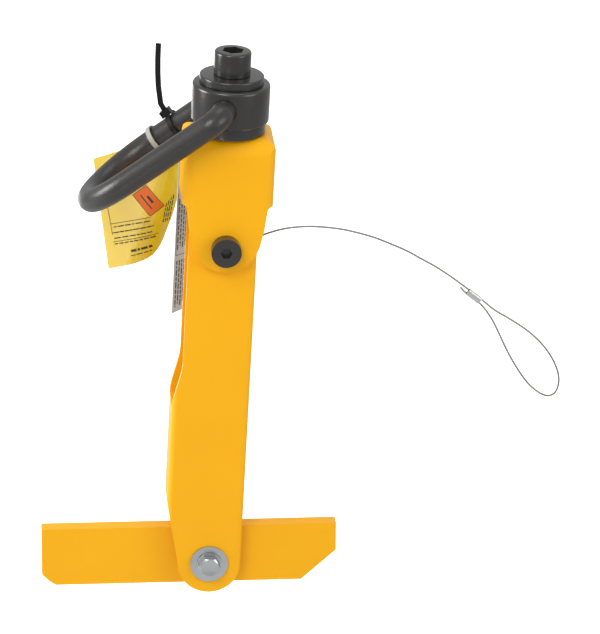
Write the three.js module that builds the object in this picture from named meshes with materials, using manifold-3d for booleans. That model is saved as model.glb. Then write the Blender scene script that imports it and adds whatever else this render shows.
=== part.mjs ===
// Toggle-type plate lifting clamp: swivel hoist ring, yoke, hanging arm and folding toggle bar.
// Millimetres, +Z up. The origin is where the swivel axis crosses the bail's pin axis.
// The camera side (the side with the bolt heads) is -Y, and the toggle's short end points to +X.
import * as THREE from "three";
import { mergeVertices } from "three/addons/utils/BufferGeometryUtils.js";
import Module from "manifold-3d";

const wasm = await Module();
wasm.setup();

// ---- driving dimensions ----
const GAP = 0.3;

// yoke
const YOKE_TOP = -30.6;
const YOKE_HALF_X = 44.45;
const YOKE_HALF_Y = 35.2;
const CHEEK = 9.5;
const CHEEK_INNER = YOKE_HALF_Y - CHEEK;
const CAP_THICK = 19;
const BOLT_Z = YOKE_TOP - 111;
const SIDE_WALL_END = BOLT_Z + 43.7;

// hoist ring
const WASHER_R = 35;
const WASHER_H = 12;
const RING_R = 38;
const RING_TOP = 19;
const FLANGE_R = 31.5;
const FLANGE_H = 7.7;
const HEAD_R = 18;
const HEAD_H = 24;
const HOIST_SHANK_R = 11.9;
const BUSHING_R = 17;

// bail
const ROD_R = 12;
const LEG_HALF = 62;
const BAIL_REACH = 186.5;
const ELBOW_R = 14;
const BAIL_DOWN = 40;
const BAIL_TURN = 14;

// arm (rectangular tube)
const ARM_LEFT = -44.45;
const ARM_RIGHT = 31.75;
const ARM_HALF_Y = 25.4;
const ARM_WALL = 4.8;
const ARM_UPPER_LEFT = -35.8;
const ARM_LENGTH = 340;
const PIVOT_Z = BOLT_Z - ARM_LENGTH;

// shoulder bolt
const SHOULDER_R = 9.5;
const SHOULDER_HEAD_R = 14.75;
const SHOULDER_HEAD_H = 12;

// toggle bar
const TOGGLE_LEFT = -167;
const TOGGLE_RIGHT = 129;
const TOGGLE_TOP = 33;
const TOGGLE_BOTTOM = -28;
const TOGGLE_HALF_Y = 8;
const TOGGLE_TILT = 2.6;
const PIVOT_R = 6.35;
const PIVOT_WASHER_R = 19;

// trip cable
const CABLE_R = 1.0;
const CABLE_Y = 14;
const GUIDE_X = 26.5;

const rad = THREE.MathUtils.degToRad;
const root = new THREE.Group();
root.name = "plate_lifting_clamp";

// ---- helpers ----
function solid(geometry) {
  const g = geometry.index ? geometry.toNonIndexed() : geometry.clone();
  g.deleteAttribute("normal");
  g.deleteAttribute("uv");
  const merged = mergeVertices(g, 1e-4);
  return new wasm.Manifold(
    new wasm.Mesh({
      numProp: 3,
      vertProperties: new Float32Array(merged.attributes.position.array),
      triVerts: new Uint32Array(merged.index.array),
    })
  );
}

function add(parent, name, body, colour) {
  const mesh = body.getMesh();
  const geometry = new THREE.BufferGeometry();
  geometry.setAttribute("position", new THREE.BufferAttribute(new Float32Array(mesh.vertProperties), 3));
  geometry.setIndex(new THREE.BufferAttribute(new Uint32Array(mesh.triVerts), 1));
  geometry.computeVertexNormals();
  const made = new THREE.Mesh(geometry, new THREE.MeshStandardMaterial({ color: colour }));
  made.name = name;
  parent.add(made);
  return made;
}

// a rod along Z from z0 to z1
function rod(radius, z0, z1, sides = 32) {
  const g = new THREE.CylinderGeometry(radius, radius, z1 - z0, sides);
  g.rotateX(Math.PI / 2);
  g.translate(0, 0, (z0 + z1) / 2);
  return solid(g);
}

// a rod along Y from y0 to y1, at x and z
function rodY(radius, y0, y1, x = 0, z = 0, sides = 32) {
  const g = new THREE.CylinderGeometry(radius, radius, y1 - y0, sides);
  g.translate(x, (y0 + y1) / 2, z);
  return solid(g);
}

function box(x0, x1, y0, y1, z0, z1) {
  const g = new THREE.BoxGeometry(x1 - x0, y1 - y0, z1 - z0);
  g.translate((x0 + x1) / 2, (y0 + y1) / 2, (z0 + z1) / 2);
  return solid(g);
}

// an outline in X and Z, extruded from y0 to y1
function slabY(shape, y0, y1, curve = 6) {
  const g = new THREE.ExtrudeGeometry(shape, { depth: y1 - y0, bevelEnabled: false, curveSegments: curve });
  g.rotateX(Math.PI / 2);
  g.translate(0, y1, 0);
  return solid(g);
}

// an outline in Y and Z, extruded from x0 to x1
function slabX(shape, x0, x1, curve = 6) {
  const g = new THREE.ExtrudeGeometry(shape, { depth: x1 - x0, bevelEnabled: false, curveSegments: curve });
  g.rotateX(Math.PI / 2);
  g.rotateZ(Math.PI / 2);
  g.translate(x0, 0, 0);
  return solid(g);
}

// an outline in X and Y, extruded from z0 to z1
function slabZ(shape, z0, z1, curve = 6) {
  const g = new THREE.ExtrudeGeometry(shape, { depth: z1 - z0, bevelEnabled: false, curveSegments: curve });
  g.translate(0, 0, z0);
  return solid(g);
}

// a solid of revolution about Z from [radius, z] pairs that start and end on the axis
function turned(profile, sides = 40) {
  const g = new THREE.LatheGeometry(profile.map(([r, z]) => new THREE.Vector2(r, z)), sides);
  g.rotateX(Math.PI / 2);
  return solid(g);
}

function roundedRect(x0, x1, y0, y1, r) {
  const s = new THREE.Shape();
  s.moveTo(x0 + r, y0);
  s.lineTo(x1 - r, y0);
  s.absarc(x1 - r, y0 + r, r, -Math.PI / 2, 0, false);
  s.lineTo(x1, y1 - r);
  s.absarc(x1 - r, y1 - r, r, 0, Math.PI / 2, false);
  s.lineTo(x0 + r, y1);
  s.absarc(x0 + r, y1 - r, r, Math.PI / 2, Math.PI, false);
  s.lineTo(x0, y0 + r);
  s.absarc(x0 + r, y0 + r, r, Math.PI, 1.5 * Math.PI, false);
  return s;
}

function hexagon(flats, turn = 0) {
  const s = new THREE.Shape();
  const r = flats / Math.sqrt(3);
  for (let i = 0; i < 6; i++) {
    const a = turn + (i * Math.PI) / 3;
    const x = r * Math.cos(a);
    const y = r * Math.sin(a);
    if (i === 0) s.moveTo(x, y);
    else s.lineTo(x, y);
  }
  s.closePath();
  return s;
}

// a hexagonal prism along Y, corners to left and right
function hexY(flats, y0, y1) {
  return slabY(hexagon(flats), y0, y1);
}

// a path that passes through its stations exactly, one station per extrusion step
class Stations extends THREE.Curve {
  constructor(points, tangents) {
    super();
    this.points = points;
    this.tangents = tangents;
  }
  getPoint(t, target = new THREE.Vector3()) {
    const last = this.points.length - 1;
    return target.copy(this.points[Math.min(last, Math.round(t * last))]);
  }
  getPointAt(u, target) {
    return this.getPoint(u, target);
  }
  getTangentAt(u, target = new THREE.Vector3()) {
    const last = this.points.length - 1;
    return target.copy(this.tangents[Math.min(last, Math.round(u * last))]);
  }
}

function circleShape(radius, sides) {
  const s = new THREE.Shape();
  for (let i = 0; i < sides; i++) {
    const a = (2 * Math.PI * (i + 0.5)) / sides;
    if (i === 0) s.moveTo(radius * Math.cos(a), radius * Math.sin(a));
    else s.lineTo(radius * Math.cos(a), radius * Math.sin(a));
  }
  s.closePath();
  return s;
}

function sweep(points, tangents, radius, sides) {
  const path = new Stations(points, tangents);
  const options = { steps: points.length - 1, bevelEnabled: false, extrudePath: path, curveSegments: 1 };
  return solid(new THREE.ExtrudeGeometry(circleShape(radius, sides), options));
}

// ---- yoke ----
function yokeFront() {
  const s = new THREE.Shape();
  const x = YOKE_HALF_X;
  const top = YOKE_TOP;
  const edge = 12;
  s.moveTo(-x + edge, top);
  s.absarc(-x + edge, top - edge, edge, Math.PI / 2, Math.PI, false);
  s.lineTo(-x, SIDE_WALL_END);
  s.lineTo(-x + 1.5, SIDE_WALL_END);
  s.quadraticCurveTo(-x + 4.6, SIDE_WALL_END - 0.5, -x + 5, SIDE_WALL_END - 4);
  s.lineTo(-37, BOLT_Z + 20);
  s.lineTo(-33.2, BOLT_Z + 3);
  s.bezierCurveTo(-28.5, BOLT_Z - 13, -17, BOLT_Z - 24, 0, BOLT_Z - 24);
  s.bezierCurveTo(17, BOLT_Z - 24, 28.5, BOLT_Z - 13, 33.2, BOLT_Z + 3);
  s.lineTo(36.6, BOLT_Z + 20);
  s.lineTo(x - 5.6, SIDE_WALL_END - 4);
  s.quadraticCurveTo(x - 5.2, SIDE_WALL_END - 0.5, x - 1.5, SIDE_WALL_END);
  s.lineTo(x, SIDE_WALL_END);
  s.lineTo(x, top - edge);
  s.absarc(x - edge, top - edge, edge, 0, Math.PI / 2, false);
  return s;
}

function yokeSide() {
  const s = new THREE.Shape();
  const y = YOKE_HALF_Y;
  const edge = 17;
  const bottom = BOLT_Z - 30;
  s.moveTo(-y, bottom);
  s.lineTo(y, bottom);
  s.lineTo(y, YOKE_TOP - edge);
  s.absarc(y - edge, YOKE_TOP - edge, edge, 0, Math.PI / 2, false);
  s.lineTo(-y + edge, YOKE_TOP);
  s.absarc(-y + edge, YOKE_TOP - edge, edge, Math.PI / 2, Math.PI, false);
  return s;
}

function yokePlan() {
  return roundedRect(-YOKE_HALF_X, YOKE_HALF_X, -YOKE_HALF_Y, YOKE_HALF_Y, 9.5);
}

function makeYoke() {
  const wall = YOKE_HALF_X - CHEEK;
  return slabY(yokeFront(), -40, 40)
    .intersect(slabX(yokeSide(), -60, 60))
    .intersect(slabZ(yokePlan(), BOLT_Z - 40, YOKE_TOP + 1))
    .subtract(box(-wall, wall, -CHEEK_INNER, CHEEK_INNER, BOLT_Z - 60, YOKE_TOP - CAP_THICK))
    .subtract(box(-60, 60, -CHEEK_INNER, CHEEK_INNER, BOLT_Z - 60, SIDE_WALL_END))
    .subtract(rod(HOIST_SHANK_R + GAP, YOKE_TOP - 30, YOKE_TOP + 5))
    .subtract(rodY(SHOULDER_R + GAP, -60, 60, 0, BOLT_Z));
}

// ---- hoist ring ----
function makeHoistWasher() {
  const z0 = YOKE_TOP + GAP;
  return turned([
    [0, z0],
    [WASHER_R, z0],
    [WASHER_R, z0 + WASHER_H - GAP - 1],
    [WASHER_R - 1, z0 + WASHER_H - GAP],
    [0, z0 + WASHER_H - GAP],
  ]).subtract(rod(HOIST_SHANK_R + GAP, z0 - 5, z0 + 30));
}

function makeRingBody() {
  const z0 = YOKE_TOP + WASHER_H + GAP;
  return turned([
    [0, z0],
    [RING_R - 1.2, z0],
    [RING_R, z0 + 1.2],
    [RING_R, RING_TOP - 3.5],
    [RING_R - 1, RING_TOP - 1],
    [RING_R - 3.5, RING_TOP],
    [0, RING_TOP],
  ])
    .subtract(rod(BUSHING_R + GAP, z0 - 5, RING_TOP + 5))
    .subtract(rodY(ROD_R + GAP, -60, -22))
    .subtract(rodY(ROD_R + GAP, 22, 60));
}

function makeBushing() {
  const z0 = YOKE_TOP + WASHER_H + GAP;
  const under = RING_TOP + GAP;
  return turned([
    [0, z0],
    [BUSHING_R, z0],
    [BUSHING_R, under],
    [FLANGE_R, under],
    [FLANGE_R, under + FLANGE_H - 1],
    [FLANGE_R - 1, under + FLANGE_H],
    [0, under + FLANGE_H],
  ]).subtract(rod(HOIST_SHANK_R + GAP, z0 - 5, under + 30));
}

function makeHoistBolt() {
  const z0 = RING_TOP + FLANGE_H + 2 * GAP;
  const tip = YOKE_TOP - CAP_THICK - 30;
  return turned([
    [0, tip],
    [HOIST_SHANK_R - 1.5, tip],
    [HOIST_SHANK_R, tip + 1.5],
    [HOIST_SHANK_R, z0],
    [HEAD_R, z0],
    [HEAD_R, z0 + HEAD_H - 1.4],
    [HEAD_R - 1.4, z0 + HEAD_H],
    [0, z0 + HEAD_H],
  ]).subtract(slabZ(hexagon(19, Math.PI / 6), z0 + HEAD_H - 12, z0 + HEAD_H + 5));
}

function makeNutWasher() {
  const z1 = YOKE_TOP - CAP_THICK - GAP;
  return rod(22, z1 - 4, z1).subtract(rod(HOIST_SHANK_R + GAP, z1 - 10, z1 + 10));
}

function makeHoistNut() {
  const z1 = YOKE_TOP - CAP_THICK - 4 - 2 * GAP;
  return slabZ(hexagon(36), z1 - 19, z1).subtract(rod(HOIST_SHANK_R + GAP, z1 - 30, z1 + 10));
}

// ---- bail ----
function bailStations() {
  const points = [];
  const tangents = [];
  const put = (x, y, tx, ty) => {
    points.push(new THREE.Vector3(x, y, 0));
    tangents.push(new THREE.Vector3(tx, ty, 0).normalize());
  };
  const centre = -(BAIL_REACH - ROD_R - LEG_HALF);
  const inner = LEG_HALF - ELBOW_R;
  put(0, -22.4, 0, -1);
  for (let i = 0; i <= 7; i++) {
    const a = (i / 7) * (Math.PI / 2);
    put(-ELBOW_R + ELBOW_R * Math.cos(a), -inner - ELBOW_R * Math.sin(a), -Math.sin(a), -Math.cos(a));
  }
  for (let i = 0; i <= 20; i++) {
    const a = (i / 20) * Math.PI;
    put(centre - LEG_HALF * Math.sin(a), -LEG_HALF * Math.cos(a), -Math.cos(a), Math.sin(a));
  }
  for (let i = 7; i >= 0; i--) {
    const a = (i / 7) * (Math.PI / 2);
    put(-ELBOW_R + ELBOW_R * Math.cos(a), inner + ELBOW_R * Math.sin(a), Math.sin(a), -Math.cos(a));
  }
  put(0, 22.4, 0, -1);
  return [points, tangents];
}

function makeBail() {
  const [points, tangents] = bailStations();
  return sweep(points, tangents, ROD_R, 18);
}

// ---- arm ----
function armOutline() {
  const s = new THREE.Shape();
  const z = PIVOT_Z;
  const top = BOLT_Z;
  s.moveTo(0, z - 31.75);
  s.absarc(0, z, 31.75, -Math.PI / 2, 0, false);
  s.lineTo(ARM_RIGHT, top + 12);
  s.quadraticCurveTo(ARM_RIGHT, top + 33, ARM_RIGHT - 21, top + 33);
  s.lineTo(ARM_UPPER_LEFT + 21, top + 33);
  s.quadraticCurveTo(ARM_UPPER_LEFT, top + 33, ARM_UPPER_LEFT, top + 12);
  s.lineTo(ARM_UPPER_LEFT, z + 214);
  s.bezierCurveTo(ARM_UPPER_LEFT, z + 204, -41.5, z + 188, ARM_LEFT, z + 172);
  s.lineTo(ARM_LEFT, z + 62);
  s.lineTo(-31.75, z);
  s.absarc(0, z, 31.75, Math.PI, 1.5 * Math.PI, false);
  return s;
}

// The tube's left wall is left out above the flare and at the foot, its right wall at the foot.
function makeArm() {
  const y = ARM_HALF_Y;
  const in_y = y - ARM_WALL;
  const low = PIVOT_Z - 50;
  const high = BOLT_Z + 60;
  return slabZ(roundedRect(ARM_LEFT, ARM_RIGHT, -y, y, 5), low, high, 5)
    .subtract(box(ARM_LEFT + ARM_WALL, ARM_RIGHT - ARM_WALL, -in_y, in_y, low - 5, high + 5))
    .intersect(slabY(armOutline(), -60, 60))
    .subtract(box(0, 60, -in_y, in_y, low - 5, PIVOT_Z + 160))
    .subtract(box(-60, 0, -in_y, in_y, low - 5, PIVOT_Z + 62))
    .subtract(box(-60, 0, -in_y, in_y, PIVOT_Z + 167, high + 5))
    .subtract(rodY(SHOULDER_R + 1.5, -60, 60, 0, BOLT_Z))
    .subtract(rodY(PIVOT_R + GAP, -60, 60, 0, PIVOT_Z))
    .subtract(box(GUIDE_X - 1, 60, -4, 4, BOLT_Z - 30, BOLT_Z + 4));
}

function ringY(outer, inner, y0, y1, z) {
  return rodY(outer, y0, y1, 0, z).subtract(rodY(inner, y0 - 5, y1 + 5, 0, z));
}

function makeShoulderBolt() {
  const head = -YOKE_HALF_Y - GAP;
  const far = YOKE_HALF_Y + 24;
  return rodY(SHOULDER_HEAD_R, head - SHOULDER_HEAD_H, head, 0, BOLT_Z)
    .add(rodY(SHOULDER_R, head - 2, YOKE_HALF_Y - 0.5, 0, BOLT_Z))
    .add(rodY(7.9, 20, far, 0, BOLT_Z))
    .subtract(hexY(10, head - SHOULDER_HEAD_H - 5, head - SHOULDER_HEAD_H + 6).translate([0, 0, BOLT_Z]));
}

// ---- toggle bar, in its own frame about the pivot ----
function makeToggleBar() {
  const s = new THREE.Shape();
  s.moveTo(TOGGLE_LEFT + 14, TOGGLE_BOTTOM);
  s.quadraticCurveTo(TOGGLE_LEFT + 7, TOGGLE_BOTTOM + 3.5, TOGGLE_LEFT, TOGGLE_BOTTOM + 12);
  s.lineTo(TOGGLE_LEFT, TOGGLE_TOP);
  s.lineTo(TOGGLE_RIGHT, TOGGLE_TOP);
  s.lineTo(TOGGLE_RIGHT, TOGGLE_BOTTOM + 31.5);
  s.lineTo(TOGGLE_RIGHT - 35, TOGGLE_BOTTOM);
  s.closePath();
  return slabY(s, -TOGGLE_HALF_Y, TOGGLE_HALF_Y)
    .subtract(rodY(9 + GAP, -20, 20))
    .subtract(rodY(2.5 + GAP, 0, 20, 22, 18, 24));
}

// ---- trip cable ----
// The stretch inside the arm, from the toggle's anchor up to the slot in the arm's right wall.
function innerCable() {
  const pts = [
    [22, CABLE_Y - 1, PIVOT_Z + 26],
    [22.3, CABLE_Y, PIVOT_Z + 60],
    [23, CABLE_Y, PIVOT_Z + 160],
    [23.5, CABLE_Y - 2, PIVOT_Z + 240],
    [23.5, 7, BOLT_Z - 50],
    [23.6, 1.5, BOLT_Z - 28],
    [25.8, 0, BOLT_Z - 15],
  ];
  return tube(pts, 24);
}

// The free stretch: out of the slot, through the sleeve, round the eye and back through the sleeve.
function freeCable() {
  const pts = [
    [27, 0, BOLT_Z - 12.5],
    [31.5, 0, BOLT_Z - 4],
    [38.3, 0, BOLT_Z + 2.5],
    [46.9, 0, BOLT_Z + 6.2],
    [57.4, 0, BOLT_Z + 9.5],
    [70.2, 0, BOLT_Z + 11.9],
    [85.1, 0, BOLT_Z + 13],
    [100.1, 0, BOLT_Z + 12.5],
    [116.3, 0, BOLT_Z + 10.8],
    [132.6, 0, BOLT_Z + 7.4],
    [148.9, 0, BOLT_Z + 2.9],
    [165.4, 0, BOLT_Z - 3.4],
    [182, 0, BOLT_Z - 10.4],
    [195.1, 0, BOLT_Z - 17.5],
    [210.4, 0, BOLT_Z - 25.7],
    [226, 0, BOLT_Z - 35.6],
    [244.3, 0, BOLT_Z - 48.6],
    [261, 0, BOLT_Z - 61.2],
    [272.3, 0, BOLT_Z - 70.2],
    [288.9, 0, BOLT_Z - 79.9],
    [303, 0, BOLT_Z - 88.8],
    [315.3, 0, BOLT_Z - 98.4],
    [327.8, 0, BOLT_Z - 111.6],
    [336.9, 0, BOLT_Z - 125.6],
    [342.3, 0, BOLT_Z - 140.3],
    [342.3, 0, BOLT_Z - 151.5],
    [338.8, 0, BOLT_Z - 159],
    [333.2, 0, BOLT_Z - 161.4],
    [325.5, 0, BOLT_Z - 159.1],
    [313.2, 0, BOLT_Z - 149.6],
    [301.7, 0, BOLT_Z - 135.1],
    [288.8, 0, BOLT_Z - 114.3],
    [279.4, 0, BOLT_Z - 96.1],
    [270.2, 0, BOLT_Z - 79.4],
    [258.4, 0, BOLT_Z - 64.6],
    [241.7, 0, BOLT_Z - 52],
    [237.5, 0, BOLT_Z - 47.5],
  ];
  return tube(pts, 80);
}

function tube(pts, steps) {
  const curve = new THREE.CatmullRomCurve3(pts.map(([x, y, z]) => new THREE.Vector3(x, y, z)));
  const points = curve.getSpacedPoints(steps);
  const tangents = points.map((_, i) => curve.getTangentAt(i / steps));
  return sweep(points, tangents, CABLE_R, 8);
}

// The swaged sleeve that holds the eye's two strands side by side.
function makeSleeve() {
  const s = roundedRect(-3.7, 3.7, -2.5, 2.5, 2.4);
  const g = new THREE.ExtrudeGeometry(s, { depth: 16, bevelEnabled: false, curveSegments: 8 });
  g.translate(0, 0, -8);
  g.rotateY(Math.PI / 2);
  g.rotateY(rad(37));
  g.translate(251.4, 0, BOLT_Z - 56.6);
  return solid(g).subtract(freeCableBore());
}

// The passage for both strands, a little wider than the cable.
function freeCableBore() {
  const g = new THREE.CylinderGeometry(CABLE_R + GAP, CABLE_R + GAP, 40, 12);
  g.rotateZ(Math.PI / 2);
  const bores = solid(g.clone().translate(0, 0, 2)).add(solid(g.clone().translate(0, 0, -2)));
  return bores.rotate([0, 37, 0]).translate([251.4, 0, BOLT_Z - 56.6]);
}

// ---- zip ties and tags, in the hoist ring's frame ----
const down = rad(BAIL_DOWN);
const BLACK_AT = 83;
const GREY_AT = 108;

// an outline in Y and Z about the leg's axis, extruded to both sides along X
function across(shape, depth) {
  const g = new THREE.ExtrudeGeometry(shape, { depth, bevelEnabled: false, curveSegments: 5 });
  g.rotateY(Math.PI / 2);
  g.rotateX(Math.PI / 2);
  g.translate(-depth / 2, LEG_HALF, 0);
  return solid(g);
}

// An oval band round the bail's back leg, in the plane across the leg, local X along the leg.
function band(width, thick, back) {
  const outer = roundedRect(-13.9 - thick, back + thick, -12.7 - thick, 12.7 + thick, 12.6 + thick);
  const inner = roundedRect(-13.9, back, -12.7, 12.7, 12.6);
  return across(outer, width).subtract(across(inner, width + 4));
}

// moves a part from the origin to a distance along the bail's leg
function onLeg(part, at) {
  return part.translate([-at, 0, 0]).rotate([0, -BAIL_DOWN, 0]);
}

function legPoint(at) {
  return [-at * Math.cos(down), -at * Math.sin(down)];
}

// a strip of the given width that follows points in X and Z
function tieTail(points, width, thick) {
  const s = new THREE.Shape();
  const n = points.length;
  const side = (i, sign) => {
    const a = points[Math.max(0, i - 1)];
    const b = points[Math.min(n - 1, i + 1)];
    const reach = (sign * width) / (2 * Math.hypot(b[0] - a[0], b[1] - a[1]));
    return [points[i][0] - reach * (b[1] - a[1]), points[i][1] + reach * (b[0] - a[0])];
  };
  points.forEach((_, i) => {
    const [x, z] = side(i, 1);
    if (i === 0) s.moveTo(x, z);
    else s.lineTo(x, z);
  });
  for (let i = n - 1; i >= 0; i--) {
    const [x, z] = side(i, -1);
    s.lineTo(x, z);
  }
  s.closePath();
  return slabY(s, -thick / 2, thick / 2);
}

function makeBlackTie() {
  const [x, z] = legPoint(BLACK_AT);
  const loop = onLeg(band(4.8, 1.4, 20), BLACK_AT);
  const head = onLeg(box(-5.5, 5.5, LEG_HALF - 5, LEG_HALF + 3, 13.3, 20), BLACK_AT);
  const tail = tieTail(
    [
      [x - 10.6, z + 12.5],
      [-80, -32],
      [-83, -14.5],
      [-84.2, -0.5],
      [-84.8, 13.5],
      [-84.9, 30],
    ],
    5.4,
    1.5
  ).translate([0, LEG_HALF - 1, 0]);
  return loop.add(head).add(tail);
}

// The loop slopes down behind the leg, through the tag's hole, with its head behind the tag.
function makeGreyTie() {
  const head = box(-4, 4, LEG_HALF + 32.6, LEG_HALF + 38, -4, 4);
  const tie = band(4.8, 1.4, 32).add(head).translate([0, -LEG_HALF, 0]);
  return onLeg(tie.rotate([-25, 0, 0]).translate([0, LEG_HALF, 0]), GREY_AT);
}

// X and Z of the tag's hole: where the grey tie's lower strand comes through
function tagHole() {
  const [x, z] = legPoint(GREY_AT);
  const below = 21.3;
  return [x + below * Math.sin(down), z - below * Math.cos(down)];
}

function makeTag() {
  const s = new THREE.Shape();
  s.moveTo(-149.5, -105);
  s.lineTo(-129.5, -220);
  s.bezierCurveTo(-114, -215.5, -94, -210, -86, -202.5);
  s.bezierCurveTo(-79, -194.5, -76, -184.5, -74, -176.5);
  s.bezierCurveTo(-66, -154.5, -63, -134.5, -62, -116.5);
  s.lineTo(-60, -77);
  s.lineTo(-74, -72);
  s.closePath();
  const sheet = new THREE.Shape();
  const bend = 46;
  const reach = 38;
  const thick = 0.8;
  const arc = Math.asin(reach / bend);
  sheet.moveTo(-80, 0);
  sheet.lineTo(0, 0);
  for (let i = 1; i <= 10; i++) {
    const a = (arc * i) / 10;
    sheet.lineTo(bend * Math.sin(a), bend * (1 - Math.cos(a)));
  }
  for (let i = 10; i >= 1; i--) {
    const a = (arc * i) / 10;
    sheet.lineTo((bend - thick) * Math.sin(a), bend - (bend - thick) * Math.cos(a));
  }
  sheet.lineTo(0, thick);
  sheet.lineTo(-80, thick);
  sheet.closePath();
  const [x, z] = tagHole();
  return slabZ(sheet, -150, 150)
    .rotate([0, 14, 0])
    .translate([-96, 82, -150])
    .intersect(slabY(s, 60, 140))
    .subtract(rodY(5.7, 50, 140, x, z, 20));
}

function makeEyelet() {
  const [x, z] = tagHole();
  return rodY(5.3, -1.8, 1.8, 0, 0, 20)
    .subtract(rodY(4.3, -5, 5, 0, 0, 20))
    .translate([x, 83.6, z]);
}

function makeLabel() {
  const s = new THREE.Shape();
  s.moveTo(0, -258);
  s.lineTo(26, -256);
  s.lineTo(26, -130);
  s.lineTo(9, -112);
  s.lineTo(9, -71);
  s.lineTo(0, -71);
  s.lineTo(0, -130);
  s.closePath();
  return slabY(s, -0.4, 0.4)
    .subtract(box(1.6, 7.4, -3, 3, -81, -75))
    .rotate([0, 0, 58])
    .translate([-61.5, 75, 0]);
}

// ---- assembly ----
const YELLOW = 0xffae22;
const DARK = 0x3c3b3a;
const ZINC = 0xb9bcbd;

add(root, "yoke", makeYoke(), YELLOW);
add(root, "hoist_washer", makeHoistWasher(), DARK);
add(root, "hoist_bushing", makeBushing(), DARK);
add(root, "hoist_bolt", makeHoistBolt(), DARK);
add(root, "hoist_nut_washer", makeNutWasher(), DARK);
add(root, "hoist_nut", makeHoistNut(), DARK);
add(root, "shoulder_bolt", makeShoulderBolt(), DARK);
add(root, "shoulder_washer", ringY(15, 8.2, YOKE_HALF_Y + GAP, YOKE_HALF_Y + 3, BOLT_Z), ZINC);
const shoulderNut = hexY(23.8, YOKE_HALF_Y + 3 + GAP, YOKE_HALF_Y + 17)
  .subtract(rodY(8.2, 0, 90))
  .translate([0, 0, BOLT_Z]);
add(root, "shoulder_nut", shoulderNut, ZINC);

const ring = new THREE.Group();
ring.name = "hoist_ring_group";
ring.rotation.z = rad(-BAIL_TURN);
root.add(ring);
add(ring, "hoist_ring_body", makeRingBody(), DARK);
add(ring, "bail", makeBail(), DARK).rotation.y = rad(-BAIL_DOWN);
add(ring, "zip_tie_black", makeBlackTie(), 0x202021);
add(ring, "zip_tie_grey", makeGreyTie(), 0xb2b2a6);
add(ring, "hang_tag", makeTag(), 0xe8c01c);
add(ring, "tag_eyelet", makeEyelet(), 0xa08040);
add(ring, "silver_label", makeLabel(), 0xb8b4b0);

add(root, "arm", makeArm(), YELLOW);
const sleeveEnd = ARM_HALF_Y - ARM_WALL - GAP;
add(root, "arm_pivot_sleeve", ringY(15, SHOULDER_R + 1.5, -sleeveEnd, sleeveEnd, BOLT_Z), ZINC);
const pin = rodY(PIVOT_R, -ARM_HALF_Y - 6, ARM_HALF_Y + 19, 0, PIVOT_Z).add(
  hexY(19, -ARM_HALF_Y - 4.8 - 8, -ARM_HALF_Y - 4.8).translate([0, 0, PIVOT_Z])
);
add(root, "toggle_pivot_bolt", pin, ZINC);
const washerFace = ARM_HALF_Y + GAP;
add(root, "pivot_washer_front", ringY(PIVOT_WASHER_R, 6.8, -washerFace - 2.2, -washerFace, PIVOT_Z), ZINC);
add(root, "pivot_lock_washer", ringY(12.7, 6.8, -washerFace - 4.2, -washerFace - 2.5, PIVOT_Z), ZINC);
add(root, "pivot_washer_back", ringY(PIVOT_WASHER_R, 6.8, washerFace, washerFace + 2.5, PIVOT_Z), ZINC);
const lockNut = hexY(19, washerFace + 2.8, washerFace + 14)
  .subtract(rodY(PIVOT_R + GAP, 0, 60))
  .translate([0, 0, PIVOT_Z]);
add(root, "pivot_lock_nut", lockNut, ZINC);
add(root, "pivot_spacer_front", ringY(11, 6.8, -sleeveEnd, -TOGGLE_HALF_Y - GAP, PIVOT_Z), ZINC);
add(root, "pivot_spacer_back", ringY(11, 6.8, TOGGLE_HALF_Y + GAP, sleeveEnd, PIVOT_Z), ZINC);
add(root, "trip_cable_inner", innerCable(), 0x777470);
add(root, "trip_cable", freeCable(), 0x777470);
add(root, "cable_sleeve", makeSleeve(), 0xb8b8b6);

const toggle = new THREE.Group();
toggle.name = "toggle_group";
toggle.position.set(0, 0, PIVOT_Z);
toggle.rotation.y = rad(-TOGGLE_TILT);
root.add(toggle);
add(toggle, "toggle_bar", makeToggleBar(), YELLOW);
const bush = rodY(9, -TOGGLE_HALF_Y + 0.2, TOGGLE_HALF_Y - 0.2).subtract(rodY(PIVOT_R + GAP, -20, 20));
add(toggle, "toggle_bushing", bush, ZINC);
const screw = rodY(2.5, 2, TOGGLE_HALF_Y + 1, 22, 18, 24).add(
  rodY(4.5, TOGGLE_HALF_Y + GAP, 11.4, 22, 18, 24)
);
add(toggle, "cable_anchor_screw", screw, ZINC);

export default root;
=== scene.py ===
"""Looks of the toggle plate lifting clamp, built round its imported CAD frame. Lengths are in metres."""

import math

import bpy
from mathutils import Matrix, Vector


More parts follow.
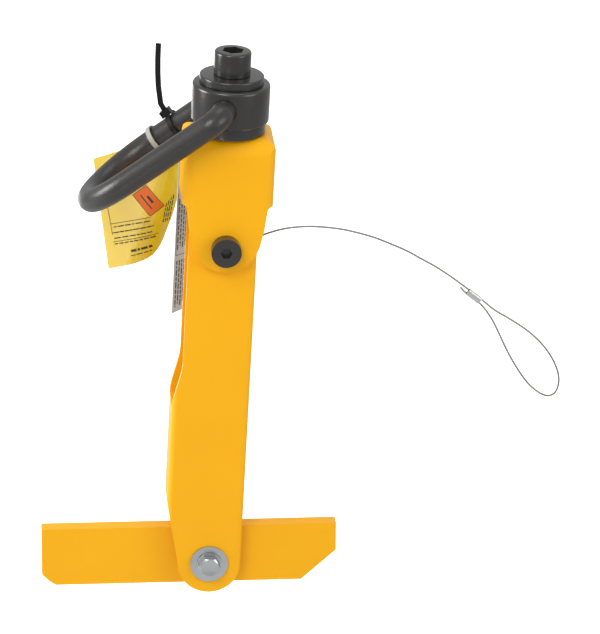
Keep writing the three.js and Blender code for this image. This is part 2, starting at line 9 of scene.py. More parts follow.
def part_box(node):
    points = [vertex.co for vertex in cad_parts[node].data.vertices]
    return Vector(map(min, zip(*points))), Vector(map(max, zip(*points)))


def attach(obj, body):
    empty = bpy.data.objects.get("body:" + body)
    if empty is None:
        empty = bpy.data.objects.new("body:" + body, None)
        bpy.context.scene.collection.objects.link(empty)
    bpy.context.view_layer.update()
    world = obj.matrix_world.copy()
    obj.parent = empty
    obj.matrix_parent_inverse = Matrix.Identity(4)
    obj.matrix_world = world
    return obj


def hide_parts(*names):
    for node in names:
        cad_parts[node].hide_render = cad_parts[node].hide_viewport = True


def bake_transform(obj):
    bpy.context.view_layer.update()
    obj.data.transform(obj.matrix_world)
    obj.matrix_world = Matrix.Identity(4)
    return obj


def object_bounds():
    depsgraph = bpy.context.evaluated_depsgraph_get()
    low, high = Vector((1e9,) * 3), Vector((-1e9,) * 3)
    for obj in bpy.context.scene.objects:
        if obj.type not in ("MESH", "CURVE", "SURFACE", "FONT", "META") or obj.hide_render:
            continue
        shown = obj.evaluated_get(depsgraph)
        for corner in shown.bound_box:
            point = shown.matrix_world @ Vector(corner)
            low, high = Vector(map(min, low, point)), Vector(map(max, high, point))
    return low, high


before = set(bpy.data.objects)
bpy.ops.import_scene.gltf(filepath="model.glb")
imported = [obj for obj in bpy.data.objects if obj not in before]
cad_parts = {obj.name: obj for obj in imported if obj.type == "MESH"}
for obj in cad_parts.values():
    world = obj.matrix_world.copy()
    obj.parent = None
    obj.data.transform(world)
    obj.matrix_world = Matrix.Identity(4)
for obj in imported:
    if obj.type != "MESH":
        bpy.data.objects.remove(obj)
cad_low, cad_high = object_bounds()

# ---- places taken from the frame ----
bolt_low, bolt_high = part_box("shoulder_bolt")
pin_low, pin_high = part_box("toggle_pivot_bolt")
BOLT_Z = (bolt_low.z + bolt_high.z) / 2
PIVOT_Z = (pin_low.z + pin_high.z) / 2
RING_TURN = math.radians(-14)
BAIL_DOWN = math.radians(40)
CABLE_D = 0.002

# ---- sizes (mm) and angles that the finer shapes repeat from the CAD, in the hoist ring's frame ----
ROD_R_MM = 12.0
LEG_HALF_MM = 62.0
ELBOW_R_MM = 14.0
BAIL_REACH_MM = 186.5
PIN_START_MM = 22.4
PIN_BORE_R_MM = 12.3
PIN_BORE_DEPTH_MM = 22
WASHER_R_MM = 35
WASHER_LOW_MM = -30.3
WASHER_TOP_MM = -18.6
RING_R_MM = 38
RING_LOW_MM = -18.3
RING_TOP_MM = 19
FLANGE_R_MM = 31.5
FLANGE_LOW_MM = 19.3
FLANGE_TOP_MM = 27
BOLT_SHANK_R_MM = 11.9
BOLT_END_MM = -79.6
BOLT_END_BEVEL_MM = 1.5
BOLT_HEAD_R_MM = 18
BOLT_HEAD_LOW_MM = 27.3
BOLT_HEAD_TOP_MM = 51.3
SOCKET_CORNER_R_MM = 10.97
SOCKET_FLOOR_MM = 39.3
CUT_PAST_MM = 60
TAIL_Y_MM = 61.0
TAIL_THICK_MM = 1.5
TAG_LEAN = math.radians(14)
TAG_Y_MM = 82.0
TAG_BEND_START_MM = (-96, -150)
TAG_BEND_R_MM = 46.0
LABEL_TURN = math.radians(58)
LABEL_START_MM = (-61.5, 75.0)
LABEL_HALF_THICK_MM = 0.4

# ---- camera ----
CAMERA_AZIMUTH = math.radians(-5.6)
CAMERA_ELEVATION = math.radians(21.3)
CAMERA_ROLL = math.radians(3.3)
CAMERA_DISTANCE = 4.699
CAMERA_TARGET = Vector((0.0797, 0, -0.2244))
CAMERA_LENS = 269.6


def make_camera():
    data = bpy.data.cameras.new("camera")
    data.lens = CAMERA_LENS
    data.sensor_width = 36
    data.clip_end = 50
    camera = bpy.data.objects.new("camera", data)
    bpy.context.scene.collection.objects.link(camera)
    a, e = CAMERA_AZIMUTH, CAMERA_ELEVATION
    forward = Vector((-math.sin(a) * math.cos(e), math.cos(a) * math.cos(e), -math.sin(e)))
    right = Vector((math.cos(a), math.sin(a), 0))
    up = right.cross(forward)
    rolled_right = math.cos(CAMERA_ROLL) * right + math.sin(CAMERA_ROLL) * up
    rolled_up = math.cos(CAMERA_ROLL) * up - math.sin(CAMERA_ROLL) * right
    turn = Matrix((rolled_right, rolled_up, -forward)).transposed().to_4x4()
    camera.matrix_world = Matrix.Translation(CAMERA_TARGET - CAMERA_DISTANCE * forward) @ turn
    bpy.context.scene.camera = camera


make_camera()


# ---- materials ----
def node(tree, kind, inputs=None, **settings):
    made = tree.nodes.new(kind)
    for key, value in settings.items():
        setattr(made, key, value)
    for key, value in (inputs or {}).items():
        if isinstance(value, bpy.types.NodeSocket):
            tree.links.new(value, made.inputs[key])
        else:
            made.inputs[key].default_value = value
    return made


def finish_material(
    name, colour, rough, metallic=0.0, coat=0.0, spread=0.06, grain=900.0, bump=0.04, specular=0.5
):
    """A surface whose colour, gloss and relief vary a little from place to place."""
    made = bpy.data.materials.new(name)
    made.use_nodes = True
    tree = made.node_tree
    shader = tree.nodes["Principled BSDF"]
    place = node(tree, "ShaderNodeTexCoord").outputs["Object"]
    broad = node(tree, "ShaderNodeTexNoise", {"Vector": place, "Scale": 14.0, "Detail": 4.0})
    fine = node(tree, "ShaderNodeTexNoise", {"Vector": place, "Scale": grain, "Detail": 3.0})
    light = tuple(min(1.0, c * (1 + spread)) for c in colour)
    dark = tuple(c * (1 - spread) for c in colour)
    ramp = node(tree, "ShaderNodeValToRGB", {"Fac": broad.outputs["Fac"]})
    ramp.color_ramp.elements[0].position = 0.35
    ramp.color_ramp.elements[1].position = 0.65
    ramp.color_ramp.elements[0].color = (*dark, 1)
    ramp.color_ramp.elements[1].color = (*light, 1)
    gloss = node(
        tree,
        "ShaderNodeMapRange",
        {"Value": broad.outputs["Fac"], "To Min": rough * 0.88, "To Max": rough * 1.14},
    )
    relief = node(
        tree,
        "ShaderNodeBump",
        {"Height": fine.outputs["Fac"], "Strength": bump, "Distance": 0.0004},
    )
    tree.links.new(ramp.outputs["Color"], shader.inputs["Base Color"])
    tree.links.new(gloss.outputs["Result"], shader.inputs["Roughness"])
    tree.links.new(relief.outputs["Normal"], shader.inputs["Normal"])
    shader.inputs["Metallic"].default_value = metallic
    shader.inputs["Coat Weight"].default_value = coat
    shader.inputs["Coat Roughness"].default_value = 0.16
    shader.inputs["Specular IOR Level"].default_value = specular
    return made


YELLOW = finish_material(
    "yellow_powder_coat",
    (0.98, 0.47, 0.006),
    0.36,
    coat=0.06,
    bump=0.1,
    grain=1400,
    specular=0.2,
    spread=0.01,
)
DARK_STEEL = (0.05, 0.048, 0.047)
BLACK_OXIDE = finish_material("black_oxide", DARK_STEEL, 0.24, metallic=0.5, coat=0.3, bump=0.12, grain=600)
FORGED = finish_material("forged_black", DARK_STEEL, 0.34, metallic=0.45, coat=0.12, bump=0.7, grain=420)
ZINC = finish_material("zinc_plate", (0.50, 0.52, 0.53), 0.2, metallic=1.0, bump=0.3, spread=0.16)
WIRE = finish_material("wire_rope", (0.30, 0.28, 0.26), 0.42, metallic=0.7)
SLEEVE = finish_material("aluminium_sleeve", (0.62, 0.62, 0.62), 0.34, metallic=0.8, bump=0.3)
BLACK_NYLON = finish_material("black_nylon", (0.006, 0.006, 0.007), 0.34, specular=0.35)
GREY_NYLON = finish_material("grey_nylon", (0.40, 0.40, 0.34), 0.4)
VINYL = finish_material("yellow_vinyl", (0.86, 0.62, 0.02), 0.24, coat=0.8, bump=0.05, grain=60)
FILM = finish_material("silver_film", (0.60, 0.59, 0.58), 0.34, metallic=0.35)
INK = finish_material("tag_ink", (0.05, 0.045, 0.03), 0.5)
ORANGE_INK = finish_material("tag_orange", (0.80, 0.16, 0.015), 0.4)
BRASS = finish_material("brass", (0.45, 0.33, 0.14), 0.35, metallic=0.9)


# ---- shape helpers ----
def mesh_object(name, verts, faces, material, body, smooth=30):
    data = bpy.data.meshes.new(name)
    data.from_pydata([tuple(v) for v in verts], [], faces)
    data.update()
    made = bpy.data.objects.new(name, data)
    bpy.context.scene.collection.objects.link(made)
    data.materials.append(material)
    soften(made, smooth)
    if body:
        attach(made, body)
    return made


def soften(piece, angle=30):
    data = piece.data
    data.shade_smooth()
    data.set_sharp_from_angle(angle=math.radians(angle))


def bevel(piece, width, segments=3, angle=32):
    made = piece.modifiers.new("edges", "BEVEL")
    made.width = width
    made.segments = segments
    made.limit_method = "ANGLE"
    made.angle_limit = math.radians(angle)
    made.use_clamp_overlap = True
    made.harden_normals = False


def curve_points(points, per_span):
    """A centripetal Catmull-Rom line through the points."""
    pts = [Vector(p) for p in points]
    pts = [2 * pts[0] - pts[1], *pts, 2 * pts[-1] - pts[-2]]
    out = []
    for i in range(1, len(pts) - 2):
        p0, p1, p2, p3 = pts[i - 1 : i + 3]
        t0 = 0.0
        t1 = t0 + math.sqrt((p1 - p0).length)
        t2 = t1 + math.sqrt((p2 - p1).length)
        t3 = t2 + math.sqrt((p3 - p2).length)
        for k in range(per_span):
            t = t1 + (t2 - t1) * k / per_span
            a1 = p0.lerp(p1, (t - t0) / (t1 - t0))
            a2 = p1.lerp(p2, (t - t1) / (t2 - t1))
            a3 = p2.lerp(p3, (t - t2) / (t3 - t2))
            b1 = a1.lerp(a2, (t - t0) / (t2 - t0))
            b2 = a2.lerp(a3, (t - t1) / (t3 - t1))
            out.append(b1.lerp(b2, (t - t1) / (t2 - t1)))
    out.append(pts[-2])
    return out


def evenly(points, step):
    """The line again, with points a given step apart."""
    lengths = [0.0]
    for a, b in zip(points, points[1:]):
        lengths.append(lengths[-1] + (b - a).length)
    count = max(2, round(lengths[-1] / step))
    out = []
    at = 0
    for i in range(count + 1):
        goal = lengths[-1] * i / count
        while at < len(points) - 2 and lengths[at + 1] < goal:
            at += 1
        span = lengths[at + 1] - lengths[at]
        out.append(points[at].lerp(points[at + 1], (goal - lengths[at]) / span))
    return out


def wire_rope(name, line, body, strands=6, lay=0.013, section=24):
    """A rope of twisted strands: a lobed section that turns as it runs along the line."""
    radius = CABLE_D / 2
    verts = []
    faces = []
    side = Vector((0, 1, 0))
    travelled = 0.0
    for i, point in enumerate(line):
        along = (line[min(i + 1, len(line) - 1)] - line[max(i - 1, 0)]).normalized()
        side = (side - along * side.dot(along)).normalized()
        other = along.cross(side)
        if i:
            travelled += (point - line[i - 1]).length
        twist = 2 * math.pi * travelled / lay
        for k in range(section):
            a = 2 * math.pi * k / section
            r = radius * (0.88 + 0.12 * abs(math.cos(strands * (a - twist) / 2)))
            verts.append(point + r * (math.cos(a) * side + math.sin(a) * other))
    for i in range(len(line) - 1):
        for k in range(section):
            n = (k + 1) % section
            faces.append((i * section + k, i * section + n, (i + 1) * section + n, (i + 1) * section + k))
    faces.append(tuple(reversed(range(section))))
    faces.append(tuple(range((len(line) - 1) * section, len(line) * section)))
    return mesh_object(name, verts, faces, WIRE, body, smooth=60)


# ---- trip cable ----
# x and z of the free stretch in mm, z counted from the shoulder bolt: out of the arm's slot,
# through the sleeve, round the eye and back through the sleeve.
CABLE_ROUTE_MM = [
    (27, -12.5),
    (31.5, -4),
    (38.3, 2.5),
    (46.9, 6.2),
    (57.4, 9.5),
    (70.2, 11.9),
    (85.1, 13),
    (100.1, 12.5),
    (116.3, 10.8),
    (132.6, 7.4),
    (148.9, 2.9),
    (165.4, -3.4),
    (182, -10.4),
    (195.1, -17.5),
    (210.4, -25.7),
    (226, -35.6),
    (244.3, -48.6),
    (261, -61.2),
    (272.3, -70.2),
    (288.9, -79.9),
    (303, -88.8),
    (315.3, -98.4),
    (327.8, -111.6),
    (336.9, -125.6),
    (342.3, -140.3),
    (342.3, -151.5),
    (338.8, -159),
    (333.2, -161.4),
    (325.5, -159.1),
    (313.2, -149.6),
    (301.7, -135.1),
    (288.8, -114.3),
    (279.4, -96.1),
    (270.2, -79.4),
    (258.4, -64.6),
    (241.7, -52),
    (237.5, -47.5),
]
# x, y and z of the stretch inside the arm, z counted from the toggle's pivot
INNER_ROUTE_MM = [
    (22, 13, 26),
    (22.3, 14, 60),
    (23, 14, 160),
    (23.5, 12, 240),
    (23.5, 7, 290),
    (23.6, 1.5, 312),
    (25.8, 0, 325),
]


def make_cables():
    route = [Vector((x / 1000, 0, BOLT_Z + z / 1000)) for x, z in CABLE_ROUTE_MM]
    line = evenly(curve_points(route, 8), 0.0014)
    cable = wire_rope("trip_cable_rope", line, "arm_body")
    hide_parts("trip_cable")
    inner = [Vector((x / 1000, y / 1000, PIVOT_Z + z / 1000)) for x, y, z in INNER_ROUTE_MM]
    inner_line = evenly(curve_points(inner, 8), 0.002)
    rope = wire_rope("trip_cable_inner_rope", inner_line, None)
    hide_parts("trip_cable_inner")
    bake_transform(rope)


make_cables()


# ---- finishes of the CAD pieces ----
def finish_nodes():
    yellow = {"yoke": 0.0012, "arm": 0.0007, "toggle_bar": 0.0011}
    for name, width in yellow.items():
        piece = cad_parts[name]
        dress(piece, YELLOW)
        bevel(piece, width)
    for name in ("shoulder_bolt", "hoist_nut", "hoist_nut_washer"):
        dress(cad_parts[name], BLACK_OXIDE)
    bevel(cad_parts["shoulder_bolt"], 0.0012, 3)
    zinc = [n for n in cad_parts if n.startswith("pivot_")]
    zinc += ["toggle_bushing", "shoulder_washer", "shoulder_nut", "arm_pivot_sleeve", "cable_anchor_screw"]
    for name in zinc:
        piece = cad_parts[name]
        dress(piece, ZINC)
        bevel(piece, 0.0005, 2)
    dress(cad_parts["cable_sleeve"], SLEEVE)
    bevel(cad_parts["cable_sleeve"], 0.0005, 2)
    small = {"zip_tie_black": BLACK_NYLON, "zip_tie_grey": GREY_NYLON, "tag_eyelet": BRASS}
    for name, material in small.items():
        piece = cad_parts[name]
        dress(piece, material)
        bevel(piece, 0.0003, 2)
    dress(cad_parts["hang_tag"], VINYL, 40)
    dress(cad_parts["silver_label"], FILM)


def dress(piece, material, smooth=30):
    piece.data.materials.clear()
    piece.data.materials.append(material)
    soften(piece, smooth)


finish_nodes()


# ---- shapes finer than the CAD's facets ----
def ring_place(x, y, z):
    """A point given in mm in the hoist ring's frame, which is turned about Z."""
    turned_x = x * math.cos(RING_TURN) - y * math.sin(RING_TURN)
    turned_y = x * math.sin(RING_TURN) + y * math.cos(RING_TURN)
    return Vector((turned_x, turned_y, z)) / 1000


def grid_faces(rows, columns, closed):
    """Quads over a grid of points stored row by row; closed joins the last column to the first."""
    faces = []
    for i in range(rows - 1):
        for k in range(columns if closed else columns - 1):
            n = (k + 1) % columns
            low, high = i * columns, (i + 1) * columns
            faces.append((low + k, low + n, high + n, high + k))
    return faces


def make_bail():
    """The bent rod: straight ends, elbows, legs and a round crown, all in one tilted plane."""
    rod, leg, elbow = ROD_R_MM, LEG_HALF_MM, ELBOW_R_MM
    sides = 48
    centre = -(BAIL_REACH_MM - rod - leg)
    inner = leg - elbow
    stations = [(0, -PIN_START_MM, 0, -1)]
    for i in range(17):
        a = i / 16 * math.pi / 2
        out = elbow * math.sin(a)
        stations.append((elbow * (math.cos(a) - 1), -inner - out, -math.sin(a), -math.cos(a)))
    for i in range(73):
        a = i / 72 * math.pi
        stations.append((centre - leg * math.sin(a), -leg * math.cos(a), -math.cos(a), math.sin(a)))
    for i in range(16, -1, -1):
        a = i / 16 * math.pi / 2
        out = elbow * math.sin(a)
        stations.append((elbow * (math.cos(a) - 1), inner + out, math.sin(a), -math.cos(a)))
    stations.append((0, PIN_START_MM, 0, -1))
    verts = []
    for x, y, tx, ty in stations:
        for k in range(sides):
            a = 2 * math.pi * k / sides
            flat_x = x + rod * math.cos(a) * ty
            flat_y = y - rod * math.cos(a) * tx
            up = rod * math.sin(a)
            along = flat_x * math.cos(BAIL_DOWN) - up * math.sin(BAIL_DOWN)
            high = flat_x * math.sin(BAIL_DOWN) + up * math.cos(BAIL_DOWN)
            verts.append(ring_place(along, flat_y, high))
    faces = grid_faces(len(stations), sides, True)
    faces.append(tuple(reversed(range(sides))))
    faces.append(tuple(range((len(stations) - 1) * sides, len(stations) * sides)))
    bail = mesh_object("bail_rod", verts, faces, FORGED, "bail_body", 50)
    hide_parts("bail")


def make_tie_teeth():
    """Ridges across the camera side of the black tie's upright tail."""
    tooth_pitch = 1.3
    tooth_half_width = 2.1
    tooth_profile = ((0.0, -0.1), (0.9, 0.35), (1.15, -0.1))
    tail = curve_points([(-83, 0, -14.5), (-84.2, 0, -0.5), (-84.8, 0, 13.5), (-84.9, 0, 29.6)], 12)
    spots = evenly(tail, tooth_pitch)
    front = TAIL_Y_MM - TAIL_THICK_MM / 2
    verts = []
    faces = []
    for a, b in zip(spots, spots[1:]):
        along = (b - a).normalized()
        across = Vector((along.z, 0, -along.x))
        base = len(verts)
        for step, rise in tooth_profile:
            for side in (-tooth_half_width, tooth_half_width):
                spot = a + along * step + across * side
                verts.append(ring_place(spot.x, front - rise, spot.z))
        faces += [tuple(base + n for n in quad) for quad in ((0, 1, 3, 2), (2, 3, 5, 4))]
        faces += [(base, base + 2, base + 4), (base + 1, base + 5, base + 3)]
        faces.append((base, base + 4, base + 5, base + 1))
    mesh_object("zip_tie_teeth", verts, faces, BLACK_NYLON, "bail_body", 20)


# ---- plain print on the tag and the label: bars and panels only ----
def tag_place(x, z, lift):
    """A point just in front of the tag's sheet, which is flat and then curls back."""
    start_x, start_z = TAG_BEND_START_MM
    across = max(0.0, (x - start_x) * math.cos(TAG_LEAN) - (z - start_z) * math.sin(TAG_LEAN))
    back = TAG_BEND_R_MM - math.sqrt(TAG_BEND_R_MM**2 - across**2)
    return ring_place(x, TAG_Y_MM + back - lift, z)


def label_place(u, z, lift):
    """A point just in front of the label, u across it."""
    out = LABEL_HALF_THICK_MM + lift
    x = LABEL_START_MM[0] + u * math.cos(LABEL_TURN) + out * math.sin(LABEL_TURN)
    y = LABEL_START_MM[1] + u * math.sin(LABEL_TURN) - out * math.cos(LABEL_TURN)
    return ring_place(x, y, z)


def bar(start, end, width):
    """The four corners of a straight bar."""
    (x0, z0), (x1, z1) = start, end
    length = math.hypot(x1 - x0, z1 - z0)
    ox = -(z1 - z0) / length * width / 2
    oz = (x1 - x0) / length * width / 2
    return [(x0 + ox, z0 + oz), (x1 + ox, z1 + oz), (x1 - ox, z1 - oz), (x0 - ox, z0 - oz)]


def dashes(start, end, width, seed):
    """A row of bars of uneven length, like a line of print seen from afar."""
    (x0, z0), (x1, z1) = start, end
    total = math.hypot(x1 - x0, z1 - z0)
    out = []
    at = 0.0
    while at < total - 1:
        seed = (seed * 37 + 11) % 101
        stop = min(total, at + 2.2 + seed / 101 * 5)
        spots = [(x0 + (x1 - x0) * t / total, z0 + (z1 - z0) * t / total) for t in (at, stop)]
        out.append(bar(spots[0], spots[1], width))
        at = stop + 1.3
    return out


def print_patches(name, patches, place, material, lift=0.2, cells=10):
    """Thin patches, each with four corners, laid over a curved surface."""
    verts = []
    faces = []
    for a, b, c, d in patches:
        base = len(verts)
        for i in range(cells + 1):
            for k in range(cells + 1):
                s, t = i / cells, k / cells
                x = (a[0] * (1 - s) + b[0] * s) * (1 - t) + (d[0] * (1 - s) + c[0] * s) * t
                z = (a[1] * (1 - s) + b[1] * s) * (1 - t) + (d[1] * (1 - s) + c[1] * s) * t
                verts.append(place(x, z, lift))
        for face in grid_faces(cells + 1, cells + 1, False):
            faces.append(tuple(base + n for n in face))
    mesh_object(name, verts, faces, material, "tag_body", 60)


# The tag's layout in mm and degrees, in x and z of the hoist ring's frame.
PANEL_CENTRE = (-92, -143)
PANEL_LENGTH = 28
PANEL_WIDTH = 18
PANEL_LEAN = -48
ROW_LEAN = 16
ROW_START = (-126, -175)
ROW_PITCH = 6
RULE_START = (-129, -172)
RULE_PITCH = 9.5
UPRIGHT_RULE_START = (-133, -154)
LARGE_ROW_START = (-107, -198.5)
COLUMN_LEAN = -98
COLUMN_START = (-74, -145)
COLUMN_STEP = (2.2, 3)
FINE_LINE = 0.5


def ahead(start, length, lean):
    """Where a line of this length and lean (degrees) ends."""
    turn = math.radians(lean)
    return (start[0] + length * math.cos(turn), start[1] + length * math.sin(turn))


def panel_bar(offset, length, width):
    """A bar along the orange panel's long side, offset across it from the panel's middle."""
    middle = ahead(PANEL_CENTRE, offset, PANEL_LEAN + 90)
    return bar(ahead(middle, -length / 2, PANEL_LEAN), ahead(middle, length / 2, PANEL_LEAN), width)


def tag_fine_lines():
    panel = panel_bar(0, PANEL_LENGTH, PANEL_WIDTH)
    lines = [bar(panel[i], panel[(i + 1) % 4], FINE_LINE) for i in range(4)]
    for i in range(3):
        start = (RULE_START[0] + 1.5 * i, RULE_START[1] - RULE_PITCH * i)
        lines.append(bar(start, ahead(start, 41 + 3 * i, ROW_LEAN), FINE_LINE))
    upright_end = ahead(UPRIGHT_RULE_START, 30, ROW_LEAN - 94)
    lines.append(bar(UPRIGHT_RULE_START, upright_end, FINE_LINE))
    return lines


def tag_rows():
    rows = []
    for i in range(4):
        start = (ROW_START[0] + 0.6 * i, ROW_START[1] - ROW_PITCH * i)
        rows += dashes(start, ahead(start, 38 + 1.5 * i, ROW_LEAN), 1.1, i + 3)
    for drop, width in ((0, 2.4), (5, 0.9)):
        start = (LARGE_ROW_START[0], LARGE_ROW_START[1] - drop)
        rows += dashes(start, ahead(start, 21.5, ROW_LEAN + 2), width, drop + 7)
    for i in range(4):
        start = (COLUMN_START[0] + COLUMN_STEP[0] * i, COLUMN_START[1] + COLUMN_STEP[1] * i)
        rows += dashes(start, ahead(start, 22 + 2 * i, COLUMN_LEAN), 0.8, i + 9)
    return rows + [panel_bar(2.5, 9, 2.6), panel_bar(-2.5, 18, 1.2)]


def label_columns():
    columns = []
    for i in range(6):
        u = 3.6 * (i + 1)
        columns += dashes((u, -136 - (i % 3)), (u, -191 + 4 * (i % 2)), 1.5, i + 5)
        columns += dashes((u, -202), (u, -252 + 3 * (i % 2)), 1.5, i + 9)
    return columns + [bar((1.5, -196), (24.5, -196), FINE_LINE), bar((1.5, -130), (1.5, -196), FINE_LINE)]


def make_print():
    panel = panel_bar(0, PANEL_LENGTH, PANEL_WIDTH)
    print_patches("tag_panel", [panel], tag_place, ORANGE_INK, 0.15, 24)
    print_patches("tag_lines", tag_fine_lines(), tag_place, INK, 0.25)
    print_patches("tag_rows", tag_rows(), tag_place, INK, 0.25, 4)
    print_patches("label_rows", label_columns(), label_place, INK, 0.2, 1)


def cut(piece, cutters):
    """Takes the cutters' shapes out of a piece for good, and deletes them."""
    for cutter in cutters:
        made = piece.modifiers.new("cut", "BOOLEAN")
        made.operation = "DIFFERENCE"
        made.solver = "EXACT"
        made.object = cutter
    bpy.context.view_layer.update()
    done = bpy.data.meshes.new_from_object(piece.evaluated_get(bpy.context.evaluated_depsgraph_get()))
    piece.modifiers.clear()
    piece.data = done
    for cutter in cutters:
        bpy.data.objects.remove(cutter)


def lathe(name, profile, material, sides=144):
    """A piece turned about the swivel axis; its radius and z pairs, in mm, start and end on the axis."""
    inside = profile[1:-1]
    verts = []
    for r, z in inside:
        for k in range(sides):
            a = 2 * math.pi * k / sides
            verts.append((r * math.cos(a) / 1000, r * math.sin(a) / 1000, z / 1000))
    faces = grid_faces(len(inside), sides, True)
    faces.append(tuple(reversed(range(sides))))
    faces.append(tuple(range((len(inside) - 1) * sides, len(inside) * sides)))
    return mesh_object(name, verts, faces, material, None, 28)


def prism(radius, sides, start, end, lean):
    """A prism along Z, or along the bail's pins when lean is a right angle."""
    verts = []
    for z in (start, end):
        for k in range(sides):
            a = 2 * math.pi * k / sides + math.pi / 6
            x, y = radius * math.cos(a), radius * math.sin(a)
            tipped_y = y * math.cos(lean) + z * math.sin(lean)
            tipped_z = z * math.cos(lean) - y * math.sin(lean)
            verts.append(ring_place(x, tipped_y, tipped_z))
    faces = grid_faces(2, sides, True)
    faces.append(tuple(reversed(range(sides))))
    faces.append(tuple(range(sides, 2 * sides)))
    return mesh_object("cutter", verts, faces, BLACK_OXIDE, None)


def rounded(profile, edge):
    """The profile with each listed corner (index: length) turned into a curve."""
    out = []
    for i, (r, z) in enumerate(profile):
        if i not in edge:
            out.append((r, z))
            continue
        here = Vector((r, z))
        to_last = (Vector(profile[i - 1]) - here).normalized() * edge[i]
        to_next = (Vector(profile[i + 1]) - here).normalized() * edge[i]
        for k in range(6):
            t = k / 5
            spot = here + to_last * (1 - t) ** 2 + to_next * t**2
            out.append((spot.x, spot.y))
    return out


def disc(radius, low, top):
    """The profile of a plain disc, for lathe."""
    return [(0, low), (radius, low), (radius, top), (0, top)]


def make_hoist_parts():
    """The turned parts of the hoist ring: washer, ring body, flanged bushing and socket head bolt."""
    washer = disc(WASHER_R_MM, WASHER_LOW_MM, WASHER_TOP_MM)
    low = lathe("hoist_washer_turned", rounded(washer, {1: 0.6, 2: 1.2}), BLACK_OXIDE)
    body = disc(RING_R_MM, RING_LOW_MM, RING_TOP_MM)
    ring = lathe("ring_body_turned", rounded(body, {1: 1.2, 2: 3.2}), BLACK_OXIDE)
    bores = ((PIN_BORE_DEPTH_MM, CUT_PAST_MM), (-CUT_PAST_MM, -PIN_BORE_DEPTH_MM))
    cut(ring, [prism(PIN_BORE_R_MM, 96, start, end, math.pi / 2) for start, end in bores])
    soften(ring, 28)
    flange = disc(FLANGE_R_MM, FLANGE_LOW_MM, FLANGE_TOP_MM)
    bush = lathe("bushing_turned", rounded(flange, {1: 0.4, 2: 1.4}), BLACK_OXIDE)
    shank = [
        (0, BOLT_END_MM),
        (BOLT_SHANK_R_MM - BOLT_END_BEVEL_MM, BOLT_END_MM),
        (BOLT_SHANK_R_MM, BOLT_END_MM + BOLT_END_BEVEL_MM),
        (BOLT_SHANK_R_MM, BOLT_HEAD_LOW_MM),
    ]
    head = disc(BOLT_HEAD_R_MM, BOLT_HEAD_LOW_MM, BOLT_HEAD_TOP_MM)[1:]
    bolt = lathe("hoist_bolt_turned", rounded(shank + head, {4: 0.5, 5: 2.4}), BLACK_OXIDE)
    cut(bolt, [prism(SOCKET_CORNER_R_MM, 6, SOCKET_FLOOR_MM, CUT_PAST_MM, 0)])
    soften(bolt, 28)
    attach(low, "yoke_body")
    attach(bush, "yoke_body")
    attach(bolt, "yoke_body")
    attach(ring, "ring_body")
    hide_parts("hoist_washer")
    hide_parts("hoist_bushing")
    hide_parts("hoist_bolt")
    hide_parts("hoist_ring_body")


def make_pivot_bolt():
    """The hex bolt through the bar, with a head whose corners are chamfered and whose top is dished."""
    flats, height, shank, segments = 19.0, 8.0, 6.35, 96
    arm_half = 25.4
    washers = 4.8
    past_arm = 19
    end_bevel = 1.2
    dish = 0.15
    face = -arm_half - washers
    tip = arm_half + past_arm
    crown = flats / 2 * 0.93
    rings = []
    for k in range(segments):
        a = 2 * math.pi * k / segments
        edge = flats / 2 / math.cos((a % (math.pi / 3)) - math.pi / 6)
        drop = (edge - crown) * math.tan(math.radians(30))
        profile = [(0.0, face - height + dish), (crown * 0.86, face - height + dish)]
        profile += [(crown * 0.93, face - height), (crown, face - height), (edge, face - height + drop)]
        profile += [(edge, face), (shank, face), (shank, tip - end_bevel)]
        profile += [(shank - end_bevel, tip), (0.0, tip)]
        rings.append([(r * math.cos(a), y, r * math.sin(a)) for r, y in profile])
    columns = len(rings[0])
    verts = [(x / 1000, y / 1000, PIVOT_Z + z / 1000) for ring in rings for x, y, z in ring]
    faces = []
    for i in range(segments):
        n = (i + 1) % segments
        for k in range(columns - 1):
            faces.append((i * columns + k, i * columns + k + 1, n * columns + k + 1, n * columns + k))
    bolt = mesh_object("pivot_bolt_detailed", verts, faces, ZINC, "arm_body", 28)
    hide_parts("toggle_pivot_bolt")


make_hoist_parts()
make_bail()
make_tie_teeth()
make_print()
make_pivot_bolt()


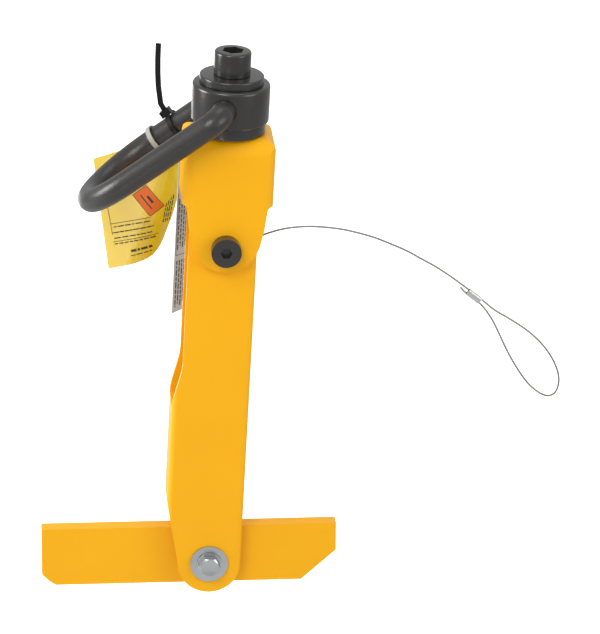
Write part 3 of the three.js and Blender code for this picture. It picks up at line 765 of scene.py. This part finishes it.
# ---- stage ----
def plane(name, height, colour, glow):
    half = 12
    data = bpy.data.meshes.new(name)
    corners = [(-half, -half), (half, -half), (half, half), (-half, half)]
    data.from_pydata([(x, y, height) for x, y in corners], [], [(0, 1, 2, 3)])
    made = bpy.data.objects.new(name, data)
    bpy.context.scene.collection.objects.link(made)
    material = bpy.data.materials.new(name)
    material.use_nodes = True
    shader = material.node_tree.nodes["Principled BSDF"]
    shader.inputs["Base Color"].default_value = (*colour, 1)
    shader.inputs["Roughness"].default_value = 0.9
    shader.inputs["Emission Color"].default_value = (1, 1, 1, 1)
    shader.inputs["Emission Strength"].default_value = glow
    data.materials.append(material)
    return made


def make_stage():
    """A floor that looks near white, and a duller one under it that the object is lit and mirrored by."""
    floor_z = cad_low.z - 0.5
    seen = plane("floor", floor_z, (0.9, 0.9, 0.9), 0.97)
    seen.visible_diffuse = False
    seen.visible_glossy = False
    seen.visible_shadow = False
    lit = plane("floor_bounce", floor_z - 0.01, (0.6, 0.6, 0.6), 0)
    lit.visible_camera = False


def area_light(name, place, target, power, size):
    data = bpy.data.lights.new(name, "AREA")
    data.energy = power
    data.shape = "DISK"
    data.size = size
    light = bpy.data.objects.new(name, data)
    bpy.context.scene.collection.objects.link(light)
    light.location = place
    light.rotation_mode = "QUATERNION"
    light.rotation_quaternion = (Vector(target) - Vector(place)).to_track_quat("-Z", "Y")


def make_light():
    world = bpy.data.worlds.new("studio")
    bpy.context.scene.world = world
    world.use_nodes = True
    world.node_tree.nodes["Background"].inputs["Color"].default_value = (1, 1, 1, 1)
    world.node_tree.nodes["Background"].inputs["Strength"].default_value = 0.62
    bpy.context.scene.view_settings.view_transform = "Standard"
    middle = (0, 0, -0.25)
    area_light("key", (-0.9, -1.6, 1.3), middle, 20, 1.2)
    area_light("fill", (1.6, -1.2, 0.4), middle, 10, 1.4)
    area_light("top", (0.2, 0.4, 1.8), middle, 4, 1.0)
    area_light("left", (-2.2, 0.1, 0.1), middle, 34, 1.2)
    area_light("glare", (-0.8, -1.6, -0.85), (-0.1, 0.1, -0.15), 0.6, 0.25)
    area_light("rim", (-0.6, 1.8, -0.85), middle, 3, 0.8)


make_stage()
make_light()
